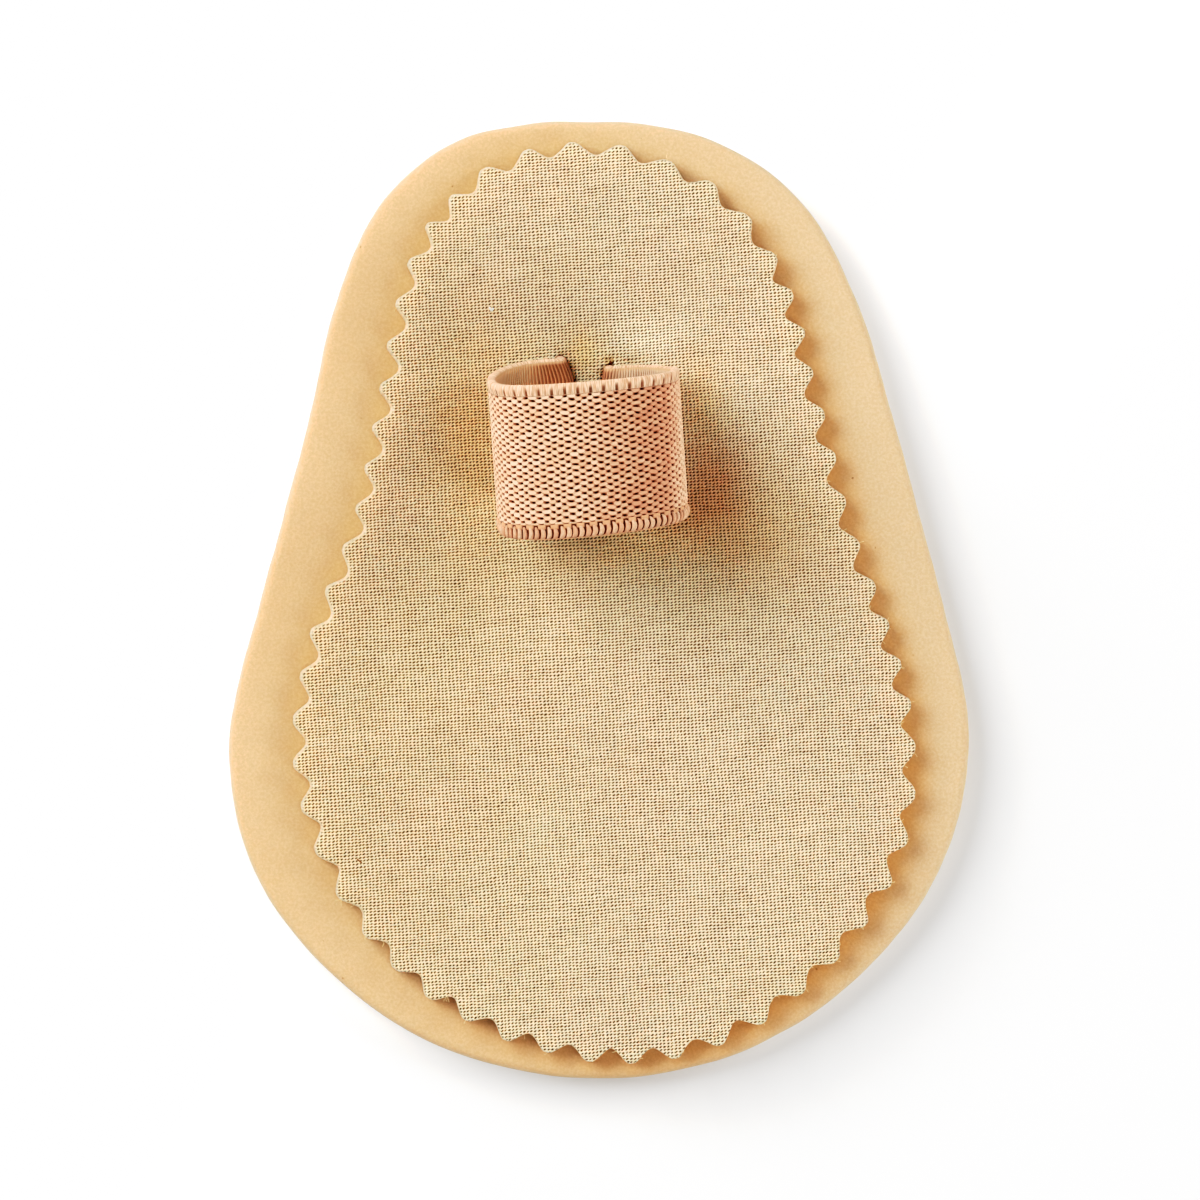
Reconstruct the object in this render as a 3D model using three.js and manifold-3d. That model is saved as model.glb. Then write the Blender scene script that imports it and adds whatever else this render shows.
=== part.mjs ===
// Toe splint: a pear-shaped foam pad, a pinked cloth cover on it and an elastic loop for one toe.
// Millimetres, +Z up. The pad lies on Z = 0 with the origin under the middle of its box. +Y points
// to the narrow end, where the toe tip lies, and +X to the right, seen from above.
import * as THREE from 'three';
import { mergeVertices } from 'three/addons/utils/BufferGeometryUtils.js';
import Module from 'manifold-3d';

// Foam pad
const PAD_LENGTH = 90.6;
const PAD_WIDTH = 70;
const PAD_THICKNESS = 3.2;
const PAD_TOP_ROUND = 1.1; // soft radius of the upper edge
const PAD_FOOT_ROUND = 0.3; // radius where the wall meets the underside

// Cloth cover, glued on the pad
const COVER_THICKNESS = 1.8;
const TOE_MARGIN = 2; // bare foam beyond the teeth at the narrow end
const HEEL_MARGIN = 1.6; // bare foam beyond the teeth at the wide end
const SIDE_MARGIN = 5.45; // bare foam beyond the teeth at the widest place, mean of both sides
const COVER_SHIFT = 0.5; // the cover lies this much to the right of the pad's middle
const GLUE_LINE = 0.2; // gap between the pad and the cover
const TOOTH_PITCH = 4.24; // along the line of the tooth tips
const TOOTH_DEPTH = 1.3; // tip to notch
const EDGE_SLOPE = 0.6; // the cut wall leans in by this much from its foot to its top

// Elastic loop
const BAND_WIDTH = 13.8;
const BAND_THICKNESS = 1.2;
const LOOP_WIDTH = 17.8; // outside, at the widest place
const LOOP_HEIGHT = 13; // outside, above the cloth
const LOOP_FROM_TOE_END = 29.7; // narrow end of the pad to the middle of the band
const LOOP_SHIFT = -1.1; // the loop stands this much to the left of the pad's middle
const LOOP_TURN = 4; // degrees, anticlockwise seen from above
const LOOP_LEAN = 2.5; // the top of the loop leans this much to the wide end
const LEG_OFFSET = 0.6; // the left leg lies this much nearer the narrow end, the right leg further
const STRIP_WIDTH = 2.6; // cloth left standing between the two slits
const BAND_CLEARANCE = 0.3; // between the band and the foam or cloth round it

// Form of the loop, seen along the toe. Widths are shares of its half width, and heights are shares
// of the rise from the lying legs to the widest place, or from there to the top.
const LOOP_FORM = {
  widestAt: 0.5, // share of the whole rise
  legFlat: 0.1, // how far a leg lies flat beside its slit
  lowHandle: 0.76,
  sideLowHandle: 0.4,
  sideHighHandle: 0.72,
  topHandle: 0.6,
};

// Fineness of the faceted surfaces
const PAD_SIDES = 112;
const ROUND_STEPS = 4;
const BAND_STEPS = 5; // along the width of the band
const BEND_STEPS = 4; // round each small bend of the band
const SIDE_STEPS = 9; // round each large bend of the band
const CUT_THROUGH = 1; // a cutting block passes this far through what it cuts

// Outline of the pad from its narrow end to its wide end. down is a share of the length, left and
// right are shares of the half width, measured from the middle line.
const PAD_OUTLINE = {
  toeEnd: -0.03,
  wideEnd: 0.01,
  rows: [
    { down: 0.019, left: 0.372, right: 0.3 },
    { down: 0.082, left: 0.581, right: 0.541 },
    { down: 0.186, left: 0.708, right: 0.695 },
    { down: 0.312, left: 0.784, right: 0.797 },
    { down: 0.5, left: 0.914, right: 0.927 },
    { down: 0.6, left: 0.982, right: 0.99 },
    { down: 0.66, left: 1, right: 1 },
    { down: 0.75, left: 0.965, right: 0.955 },
    { down: 0.834, left: 0.854, right: 0.84 },
    { down: 0.918, left: 0.64, right: 0.627 },
    { down: 0.975, left: 0.375, right: 0.365 },
  ],
};

// Line of the cover's tooth tips, in the same form, with shares of the cover's own length and width.
const COVER_OUTLINE = {
  toeEnd: -0.06,
  wideEnd: 0.06,
  rows: [
    { down: 0.0136, left: 0.29, right: 0.165 },
    { down: 0.0537, left: 0.479, right: 0.382 },
    { down: 0.1338, left: 0.631, right: 0.565 },
    { down: 0.271, left: 0.717, right: 0.684 },
    { down: 0.408, left: 0.804, right: 0.789 },
    { down: 0.546, left: 0.951, right: 0.931 },
    { down: 0.649, left: 1, right: 0.994 },
    { down: 0.752, left: 0.946, right: 0.973 },
    { down: 0.843, left: 0.81, right: 0.846 },
    { down: 0.924, left: 0.587, right: 0.631 },
    { down: 0.981, left: 0.268, right: 0.357 },
  ],
};

// The shears were set down afresh now and then, so the teeth run ahead or behind an even pitch.
// edge is the share of the way round, clockwise from the narrow end; creep is in teeth.
const TOOTH_CREEP = [
  { edge: 0, creep: -0.3 },
  { edge: 0.055, creep: 0.04 },
  { edge: 0.09, creep: 0.25 },
  { edge: 0.15, creep: -0.06 },
  { edge: 0.24, creep: -0.1 },
  { edge: 0.3, creep: -0.34 },
  { edge: 0.4, creep: -0.08 },
  { edge: 0.47, creep: 0.22 },
  { edge: 0.55, creep: 0.08 },
  { edge: 0.62, creep: 0.05 },
  { edge: 0.66, creep: 0.27 },
  { edge: 0.79, creep: 0.3 },
  { edge: 0.85, creep: 0 },
  { edge: 0.92, creep: -0.14 },
  { edge: 0.95, creep: -0.43 },
  { edge: 1, creep: -0.3 },
];

// Corners of one tooth: along is a share of the pitch from its tip, depth of the tooth depth.
const TOOTH_CORNERS = [
  { along: 0, depth: 0 },
  { along: 0.13, depth: 0.12 },
  { along: 0.38, depth: 0.86 },
  { along: 0.5, depth: 1 },
  { along: 0.62, depth: 0.86 },
  { along: 0.87, depth: 0.12 },
];

// Places worked out from the sizes
const coverFoot = PAD_THICKNESS + GLUE_LINE;
const coverTop = coverFoot + COVER_THICKNESS;
const slitMiddle = STRIP_WIDTH / 2 + BAND_CLEARANCE + BAND_THICKNESS / 2;
const slitWidth = BAND_THICKNESS + 2 * BAND_CLEARANCE;
const slitLength = BAND_WIDTH + 2 * BAND_CLEARANCE;
const hiddenRunTop = coverFoot - BAND_CLEARANCE;
const loopPlace = new THREE.Vector2(LOOP_SHIFT, PAD_LENGTH / 2 - LOOP_FROM_TOE_END);

const wasm = await Module();
wasm.setup();

// A closed smooth curve round a middle point, clockwise from the narrow end, seen from above.
function outlineCurve(outline, length, width, middle) {
  const at = (down, across) => new THREE.Vector3(
    middle.x + (across * width) / 2, middle.y + length * (0.5 - down), 0);
  const right = outline.rows.map((row) => at(row.down, row.right));
  const left = outline.rows.map((row) => at(row.down, -row.left)).reverse();
  const points = [at(0, outline.toeEnd), ...right, at(1, outline.wideEnd), ...left];
  const curve = new THREE.CatmullRomCurve3(points, true, 'centripetal');
  curve.arcLengthDivisions = 600;
  return curve;
}

// The point a share of the way round the curve, moved in by a distance.
function insetPoint(curve, share, inset) {
  const point = curve.getPointAt(share);
  const tangent = curve.getTangentAt(share);
  return new THREE.Vector2(point.x + tangent.y * inset, point.y - tangent.x * inset);
}

// A closed mesh from rings of points, one above the other, with flat ends.
function stackRings(rings) {
  const sides = rings[0].points.length;
  const positions = [];
  const faces = [];
  for (const ring of rings) {
    for (const point of ring.points) positions.push(point.x, point.y, ring.z);
  }
  for (let level = 0; level + 1 < rings.length; level += 1) {
    for (let side = 0; side < sides; side += 1) {
      const low = level * sides + side;
      const lowNext = level * sides + ((side + 1) % sides);
      faces.push(low, low + sides, lowNext);
      faces.push(lowNext, low + sides, lowNext + sides);
    }
  }
  const lastRing = (rings.length - 1) * sides;
  for (const [a, b, c] of THREE.ShapeUtils.triangulateShape(rings[0].points, [])) {
    faces.push(c, b, a);
  }
  for (const [a, b, c] of THREE.ShapeUtils.triangulateShape(rings.at(-1).points, [])) {
    faces.push(lastRing + a, lastRing + b, lastRing + c);
  }
  const geometry = new THREE.BufferGeometry();
  geometry.setAttribute('position', new THREE.Float32BufferAttribute(positions, 3));
  geometry.setIndex(faces);
  return geometry;
}

function toManifold(geometry) {
  const bare = geometry.clone();
  bare.deleteAttribute('normal');
  bare.deleteAttribute('uv');
  const merged = mergeVertices(bare, 1e-4);
  return new wasm.Manifold(
    new wasm.Mesh({
      numProp: 3,
      vertProperties: new Float32Array(merged.attributes.position.array),
      triVerts: new Uint32Array(merged.index.array),
    }),
  );
}

function fromManifold(solid) {
  const mesh = solid.getMesh();
  const geometry = new THREE.BufferGeometry();
  geometry.setAttribute('position', new THREE.BufferAttribute(mesh.vertProperties, 3));
  geometry.setIndex(new THREE.BufferAttribute(mesh.triVerts, 1));
  return geometry;
}

function cutAway(body, tools) {
  let solid = toManifold(body);
  for (const tool of tools) solid = solid.subtract(toManifold(tool));
  return fromManifold(solid);
}

// A straight-sided block in the loop's own turned frame, for cutting a slit or the recess.
function loopBlock({ across, along, width, length, bottom, top }) {
  const block = new THREE.BoxGeometry(width, length, top - bottom);
  block.translate(across, along, (top + bottom) / 2);
  return toLoopPlace(block);
}

function toLoopPlace(geometry) {
  geometry.rotateZ(THREE.MathUtils.degToRad(LOOP_TURN));
  geometry.translate(loopPlace.x, loopPlace.y, 0);
  return geometry;
}

// The pad's wall goes up straight between two rounds, a small one at its foot.
function foamBase() {
  const curve = outlineCurve(PAD_OUTLINE, PAD_LENGTH, PAD_WIDTH, new THREE.Vector2(0, 0));
  const levels = [];
  for (let step = 0; step <= ROUND_STEPS; step += 1) {
    const angle = (step / ROUND_STEPS) * (Math.PI / 2);
    levels.push({
      z: PAD_FOOT_ROUND * (1 - Math.cos(angle)),
      inset: PAD_FOOT_ROUND * (1 - Math.sin(angle)),
    });
  }
  for (let step = 0; step <= ROUND_STEPS; step += 1) {
    const angle = (step / ROUND_STEPS) * (Math.PI / 2);
    levels.push({
      z: PAD_THICKNESS - PAD_TOP_ROUND * (1 - Math.sin(angle)),
      inset: PAD_TOP_ROUND * (1 - Math.cos(angle)),
    });
  }
  const rings = levels.map(({ z, inset }) => {
    const points = [];
    for (let side = 0; side < PAD_SIDES; side += 1) {
      points.push(insetPoint(curve, side / PAD_SIDES, inset));
    }
    return { z, points };
  });
  const recess = loopBlock({
    across: 0,
    along: 0,
    width: 2 * slitMiddle + slitWidth,
    length: slitLength + 2 * LEG_OFFSET,
    bottom: hiddenRunTop - BAND_THICKNESS - BAND_CLEARANCE,
    top: PAD_THICKNESS + CUT_THROUGH,
  });
  return cutAway(stackRings(rings), [recess]);
}

// How far the teeth run ahead of an even pitch at a share of the way round, in teeth.
function creepAt(share) {
  const next = TOOTH_CREEP.findIndex((row) => row.edge >= share);
  if (next <= 0) return TOOTH_CREEP[0].creep;
  const before = TOOTH_CREEP[next - 1];
  const after = TOOTH_CREEP[next];
  const part = (share - before.edge) / (after.edge - before.edge);
  return THREE.MathUtils.lerp(before.creep, after.creep, part);
}

function cover() {
  const length = PAD_LENGTH - TOE_MARGIN - HEEL_MARGIN;
  const width = PAD_WIDTH - 2 * SIDE_MARGIN;
  const middle = new THREE.Vector2(COVER_SHIFT, (HEEL_MARGIN - TOE_MARGIN) / 2);
  const curve = outlineCurve(COVER_OUTLINE, length, width, middle);
  const teeth = Math.round(curve.getLength() / TOOTH_PITCH);
  const ring = (z, slope) => {
    const points = [];
    for (let tooth = 0; tooth < teeth; tooth += 1) {
      for (const corner of TOOTH_CORNERS) {
        const even = (tooth + corner.along) / teeth;
        const share = (even + creepAt(even) / teeth + 1) % 1;
        points.push(insetPoint(curve, share, corner.depth * TOOTH_DEPTH + slope));
      }
    }
    return { z, points };
  };
  const blank = stackRings([ring(coverFoot, 0), ring(coverTop, EDGE_SLOPE)]);
  const slits = [-1, 1].map((side) => loopBlock({
    across: side * slitMiddle,
    along: -side * LEG_OFFSET,
    width: slitWidth,
    length: slitLength,
    bottom: coverFoot - CUT_THROUGH,
    top: coverTop + CUT_THROUGH,
  }));
  return cutAway(blank, slits);
}

// Middle line of the band's right half, in X and Z, from under the strip of cloth to the top.
function bandHalfLine() {
  const half = BAND_THICKNESS / 2;
  const bend = half + BAND_CLEARANCE;
  const low = hiddenRunTop - half;
  const lying = coverTop + BAND_CLEARANCE + half;
  const top = coverTop + LOOP_HEIGHT - half;
  const side = LOOP_WIDTH / 2 - half;
  const widest = THREE.MathUtils.lerp(lying, top, LOOP_FORM.widestAt);
  const at = (x, z) => new THREE.Vector2(x, z);
  const intoSlit = new THREE.QuadraticBezierCurve(
    at(slitMiddle - bend, low), at(slitMiddle, low), at(slitMiddle, low + bend));
  const outOfSlit = new THREE.QuadraticBezierCurve(
    at(slitMiddle, lying - bend), at(slitMiddle, lying), at(slitMiddle + bend, lying));
  const lowerSide = new THREE.CubicBezierCurve(
    at(slitMiddle + bend + side * LOOP_FORM.legFlat, lying),
    at(side * LOOP_FORM.lowHandle, lying),
    at(side, THREE.MathUtils.lerp(lying, widest, LOOP_FORM.sideLowHandle)),
    at(side, widest));
  const upperSide = new THREE.CubicBezierCurve(
    at(side, widest),
    at(side, THREE.MathUtils.lerp(widest, top, LOOP_FORM.sideHighHandle)),
    at(side * LOOP_FORM.topHandle, top),
    at(0, top));
  return [
    ...intoSlit.getPoints(BEND_STEPS),
    ...outOfSlit.getPoints(BEND_STEPS),
    ...lowerSide.getPoints(SIDE_STEPS),
    ...upperSide.getPoints(SIDE_STEPS).slice(1),
  ];
}

// How far a point of the band is moved to the wide end: the legs a little, the top by its lean.
function bandShift(x, z) {
  const reach = THREE.MathUtils.clamp(x / slitMiddle, -1, 1) * LEG_OFFSET;
  const height = THREE.MathUtils.clamp((z - coverTop) / LOOP_HEIGHT, 0, 1);
  const rise = Math.sin((height * Math.PI) / 2);
  return reach * (1 - rise) + LOOP_LEAN * rise;
}

// The band runs once round, as a ring of its own thickness. Its section line is the middle line
// moved out and in by half the thickness.
function toeLoop() {
  const right = bandHalfLine();
  const left = right.slice(0, -1).reverse().map((point) => new THREE.Vector2(-point.x, point.y));
  const middle = [...right, ...left];
  const count = middle.length;
  const faceLine = (offset) => middle.map((point, index) => {
    const before = middle[(index + count - 1) % count];
    const after = middle[(index + 1) % count];
    const along = after.clone().sub(before).normalize();
    return new THREE.Vector2(point.x + along.y * offset, point.y - along.x * offset);
  });
  const outer = faceLine(BAND_THICKNESS / 2);
  const inner = faceLine(-BAND_THICKNESS / 2);
  const positions = [];
  const faces = [];
  for (let step = 0; step <= BAND_STEPS; step += 1) {
    const y = BAND_WIDTH * (step / BAND_STEPS - 0.5);
    for (const line of [outer, inner]) {
      for (const point of line) {
        positions.push(point.x, y - bandShift(point.x, point.y), point.y);
      }
    }
  }
  const quad = (a, b, c, d) => faces.push(a, b, c, a, c, d);
  const stride = 2 * count;
  for (let index = 0; index < count; index += 1) {
    const next = (index + 1) % count;
    for (let step = 0; step < BAND_STEPS; step += 1) {
      const near = step * stride;
      const far = near + stride;
      quad(near + index, far + index, far + next, near + next);
      quad(near + count + next, far + count + next, far + count + index, near + count + index);
    }
    const end = BAND_STEPS * stride;
    quad(index, next, count + next, count + index);
    quad(end + index, end + count + index, end + count + next, end + next);
  }
  const geometry = new THREE.BufferGeometry();
  geometry.setAttribute('position', new THREE.Float32BufferAttribute(positions, 3));
  geometry.setIndex(faces);
  return toLoopPlace(geometry);
}

function piece(name, geometry, color, roughness) {
  const material = new THREE.MeshStandardMaterial({ color, roughness, metalness: 0 });
  const mesh = new THREE.Mesh(geometry, material);
  mesh.name = name;
  return mesh;
}

const splint = new THREE.Group();
splint.add(piece('foam_base', foamBase(), 0xecca98, 0.95));
splint.add(piece('cover', cover(), 0xf2d8b2, 0.9));
splint.add(piece('toe_loop', toeLoop(), 0xe3ae8c, 0.85));

export default splint;
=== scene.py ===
"""The looks of a toe splint: a foam pad, its pinked cloth cover and an elastic loop for one toe.

Shapes are worked out in millimetres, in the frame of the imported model, and written in metres.
"""

import math

import bpy
import numpy as np
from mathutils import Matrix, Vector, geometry


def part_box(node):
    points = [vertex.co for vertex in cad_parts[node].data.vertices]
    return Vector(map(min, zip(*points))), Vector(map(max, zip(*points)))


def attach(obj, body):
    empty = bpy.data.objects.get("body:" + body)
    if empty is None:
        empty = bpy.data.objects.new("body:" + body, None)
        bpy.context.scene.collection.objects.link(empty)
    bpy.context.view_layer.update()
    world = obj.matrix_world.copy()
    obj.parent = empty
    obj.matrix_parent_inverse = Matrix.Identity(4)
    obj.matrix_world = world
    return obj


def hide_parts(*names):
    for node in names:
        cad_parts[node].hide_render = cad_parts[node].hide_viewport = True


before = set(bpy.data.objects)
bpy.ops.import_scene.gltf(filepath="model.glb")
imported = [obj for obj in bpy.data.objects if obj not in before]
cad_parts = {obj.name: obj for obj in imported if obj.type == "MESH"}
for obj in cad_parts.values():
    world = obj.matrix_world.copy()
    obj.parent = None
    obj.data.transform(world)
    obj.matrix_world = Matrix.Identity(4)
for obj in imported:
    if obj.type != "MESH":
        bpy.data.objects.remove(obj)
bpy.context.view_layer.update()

MM = 0.001

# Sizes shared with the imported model, in millimetres
PAD_TOP_ROUND = 1.1
PAD_FOOT_ROUND = 0.3
BAND_WIDTH = 13.8
BAND_THICKNESS = 1.2
LOOP_WIDTH = 17.8
LOOP_PLACE = (-1.1, 15.6)
LOOP_TURN = math.radians(4)
LOOP_LEAN = 2.5
LEG_OFFSET = 0.6
STRIP_WIDTH = 2.6
BAND_CLEARANCE = 0.3
TEETH = 55

# The pad's upper edge is an oval round: this broad, and as high as PAD_TOP_ROUND
PAD_EDGE_BREADTH = 0.85
FOOT_STEPS = 4
TOP_STEPS = 10

# The elastic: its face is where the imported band's is, and its body is thinner
BAND_HALF = BAND_WIDTH / 2
BAND_FACE = BAND_THICKNESS / 2
BAND_BODY = 0.8
BAND_INSIDE = BAND_FACE - BAND_BODY
BAND_MIDDLE = (BAND_FACE + BAND_INSIDE) / 2
TOE_SELVEDGE = 1.0
TOE_ROUND = 0.2
STITCHED_EDGE = 1.3
STITCHED_ROUND = 0.15
FACE_START = -BAND_HALF + STITCHED_EDGE
FACE_END = BAND_HALF - TOE_SELVEDGE
YARN_PITCH = 1.16
ROW_PITCH = 0.29
ROW_PAIR = 2 * ROW_PITCH
RIB_PITCH = 0.24
STITCH_PITCH = YARN_PITCH / 2
LUMP_HALVES = (0.45, 0.26)
HOLE_HEAD = 0.16
HOLE_TAIL = 0.26
HOLE_HALF = 0.11

# What the material knows of each point of the band. The zone is -1 on the stitched edge, 0 on the
# face, 1 on the toe edge and 2 inside
ROW_VALUES = ("u", "v", "zone", "rim", "inner")

# The cloth's threads and the holes between them
WEFT_PITCH = 0.294
WARP_PITCH = 0.355
WEFT_RISE = math.radians(4.6)
WARP_LEAN = math.radians(3.2)
CLOTH_HOLE_HALVES = (0.13, 0.083)

# A level direction, the way that shadows fall
AWAY_FROM_LAMP = np.array([0.82, -0.57])


def heights(node):
    """How high a node's lowest and highest points lie."""
    return [corner[2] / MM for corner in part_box(node)]


PAD_TOP = heights("foam_base")[1]
COVER_FOOT, COVER_TOP = heights("cover")
LOOP_HEIGHT = heights("toe_loop")[1] - COVER_TOP
SLIT_MIDDLE = STRIP_WIDTH / 2 + BAND_CLEARANCE + BAND_THICKNESS / 2


# Curves and noise

WAVES = 7


def area_in(loop):
    """The area in a closed loop, above 0 where it runs anticlockwise."""
    following = np.roll(loop, -1, axis=0)
    return (loop[:, 0] * following[:, 1] - following[:, 0] * loop[:, 1]).sum() / 2


def turned_left(loop):
    """The loop, running anticlockwise."""
    return loop if area_in(loop) > 0 else loop[::-1]


def flat_outline(node, height):
    """The longest loop of points round the flat faces of a node at one height, anticlockwise."""
    mesh = bpy.data.objects[node].data
    points = np.array([v.co[:] for v in mesh.vertices]) / MM
    keys = [tuple(np.round(p, 3)) for p in points]
    seen = {}
    for face in mesh.polygons:
        corners = [keys[i] for i in face.vertices]
        if all(abs(c[2] - height) < 0.002 for c in corners):
            for a, b in zip(corners, corners[1:] + corners[:1]):
                edge = frozenset((a, b))
                seen[edge] = None if edge in seen else (a, b)
    following = {edge[0]: edge[1] for edge in seen.values() if edge}
    loops = []
    while following:
        start = next(iter(following))
        loop = [start]
        point = following.pop(start)
        while point != start:
            loop.append(point)
            point = following.pop(point)
        loops.append(np.array(loop)[:, :2])
    return turned_left(max(loops, key=len))


def refine(loop, parts):
    """A closed loop with each step split in parts, along a smooth curve through its points."""
    before, here, after, later = (np.roll(loop, step, axis=0) for step in (1, 0, -1, -2))
    out = []
    for part in range(parts):
        t = part / parts
        out.append(0.5 * (
            2 * here
            + (after - before) * t
            + (2 * before - 5 * here + 4 * after - later) * t ** 2
            + (3 * here - before - 3 * after + later) * t ** 3))
    return np.stack(out, axis=1).reshape(-1, loop.shape[1])


def even_steps(loop, count):
    """A closed loop's points set again at equal distances."""
    line = np.vstack([loop, loop[:1]])
    reach = np.concatenate([[0], np.cumsum(np.linalg.norm(np.diff(line, axis=0), axis=1))])
    places = np.linspace(0, reach[-1], count, endpoint=False)
    return np.stack([np.interp(places, reach, line[:, k]) for k in range(line.shape[1])], axis=1)


def blurred(loop, width):
    """A closed loop, each point the mean of the points within width steps of it."""
    return sum(np.roll(loop, step, axis=0) for step in range(-width, width + 1)) / (2 * width + 1)


def inward(loop):
    """Directions to the inside of a closed anticlockwise loop."""
    along = np.roll(loop, -1, axis=0) - np.roll(loop, 1, axis=0)
    along /= np.linalg.norm(along, axis=1)[:, None]
    return np.stack([-along[:, 1], along[:, 0]], axis=1)


def in_turned(x, y, turn):
    """The place in a frame that is turned by an angle."""
    cos, sin = math.cos(turn), math.sin(turn)
    return x * cos + y * sin, y * cos - x * sin


def to_loop(x, y):
    """Pad place to the turned frame of the loop."""
    return in_turned(x - LOOP_PLACE[0], y - LOOP_PLACE[1], LOOP_TURN)


def from_loop(x, y):
    """Place in the turned frame of the loop to the pad's."""
    x, y = in_turned(x, y, -LOOP_TURN)
    return LOOP_PLACE[0] + x, LOOP_PLACE[1] + y


def hills(x, y, rows):
    """The sum of round hills, each given by its height, place, half width both ways, and turn."""
    total = 0.0
    for height, place, size, turn in rows:
        across, along = in_turned(x - place[0], y - place[1], turn)
        total += height * np.exp(-((across / size[0]) ** 2 + (along / size[1]) ** 2))
    return total


def ripple(x, y, scale, seed):
    """Soft unevenness about 0, made of a few waves in chosen directions."""
    draw = np.random.default_rng(seed)
    total = np.zeros_like(x)
    for _ in range(WAVES):
        angle, phase = draw.uniform(0, 2 * math.pi, 2)
        length = scale * draw.uniform(0.6, 1.8)
        reach = x * math.cos(angle) + y * math.sin(angle)
        total += np.sin(2 * math.pi * reach / length + phase)
    return total / WAVES ** 0.5


def wrapped(value):
    """The value less its nearest whole number."""
    return value - np.round(value)


# Meshes


def placed(name, data):
    made = bpy.data.objects.new(name, data)
    bpy.context.collection.objects.link(made)
    return made


def new_piece(name, points, faces, material, node=None, values=None):
    """A mesh object from points in millimetres. values are numbers for each point, by name."""
    mesh = bpy.data.meshes.new(name)
    mesh.from_pydata((np.asarray(points) * MM).tolist(), [], [list(f) for f in faces])
    mesh.validate()
    for key, numbers in (values or {}).items():
        layer = mesh.attributes.new(key, "FLOAT", "POINT")
        layer.data.foreach_set("value", np.asarray(numbers, dtype=np.float32))
    mesh.polygons.foreach_set("use_smooth", [True] * len(mesh.polygons))
    mesh.materials.append(material)
    piece = placed(name, mesh)
    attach(piece, "root")
    if node:
        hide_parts(node)
    return piece


def ring_faces(first, second, count):
    """Quads between two closed rings of the same count, given the index of their first points."""
    steps = enumerate([*range(1, count), 0])
    return [(first + k, first + after, second + after, second + k) for k, after in steps]


def wall_faces(rings, count, first=0):
    """Quads of a wall of closed rings that follow one another, all of the same count."""
    faces = []
    for start in range(first, first + (rings - 1) * count, count):
        faces += ring_faces(start, start + count, count)
    return faces


def tube_faces(rings, count, first=0):
    """Faces of a closed tube of rings, its two ends last."""
    last = first + (rings - 1) * count
    ends = [tuple(range(first, first + count))[::-1], tuple(range(last, last + count))]
    return wall_faces(rings, count, first) + ends


def renumbered(faces, count, ring_start, later_start):
    """Faces whose first count points are a ring of the piece, and the others a later run of it."""
    return [
        tuple(ring_start + i if i < count else later_start + i - count for i in face)
        for face in faces]


def inside(points, loop):
    """True for each point inside a closed loop."""
    x, y = points[:, 0], points[:, 1]
    hits = np.zeros(len(points), dtype=int)
    for (x0, y0), (x1, y1) in zip(loop, np.roll(loop, -1, axis=0)):
        if y0 != y1:
            crosses = (y0 > y) != (y1 > y)
            hits += crosses & (x < x0 + (y - y0) * (x1 - x0) / (y1 - y0))
    return hits % 2 == 1


def grid(low, high, spacing):
    """Points of a square grid between two corners."""
    x, y = np.meshgrid(*(np.arange(first, last, spacing) for first, last in zip(low, high)))
    return np.stack([x.ravel(), y.ravel()], axis=1)


def grid_inside(loop, spacing, margin):
    """Points of a square grid that lie in a loop, the margin or more from its edge."""
    low, high = loop.min(axis=0), loop.max(axis=0)
    points = grid(low, high, spacing)
    centre = (low + high) / 2
    return points[inside(points, centre + (loop - centre) * (1 - 2 * margin / min(high - low)))]


def filled(outer, holes, inner_points):
    """Triangles over the area in a loop and outside its holes. The loops' points come first."""
    loops = [outer, *holes]
    points = np.vstack(loops + [inner_points])
    edges, start = [], 0
    for loop in loops:
        count = len(loop)
        edges += [(start + k, start + (k + 1) % count) for k in range(count)]
        start += count
    vertices, _, faces, origins, _, _ = geometry.delaunay_2d_cdt(
        [tuple(p) for p in points], edges, [], 1, 1e-7)
    home = [o[0] if o else -1 for o in origins]
    middles = np.array([np.mean([vertices[i][:] for i in f], axis=0) for f in faces])
    keep = inside(middles, outer)
    for hole in holes:
        keep &= ~inside(middles, hole)
    return points, [tuple(home[i] for i in f) for f, k in zip(faces, keep) if k]


# Materials. Noise is given in repeats a metre, and ramps of x and y in metres


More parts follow.
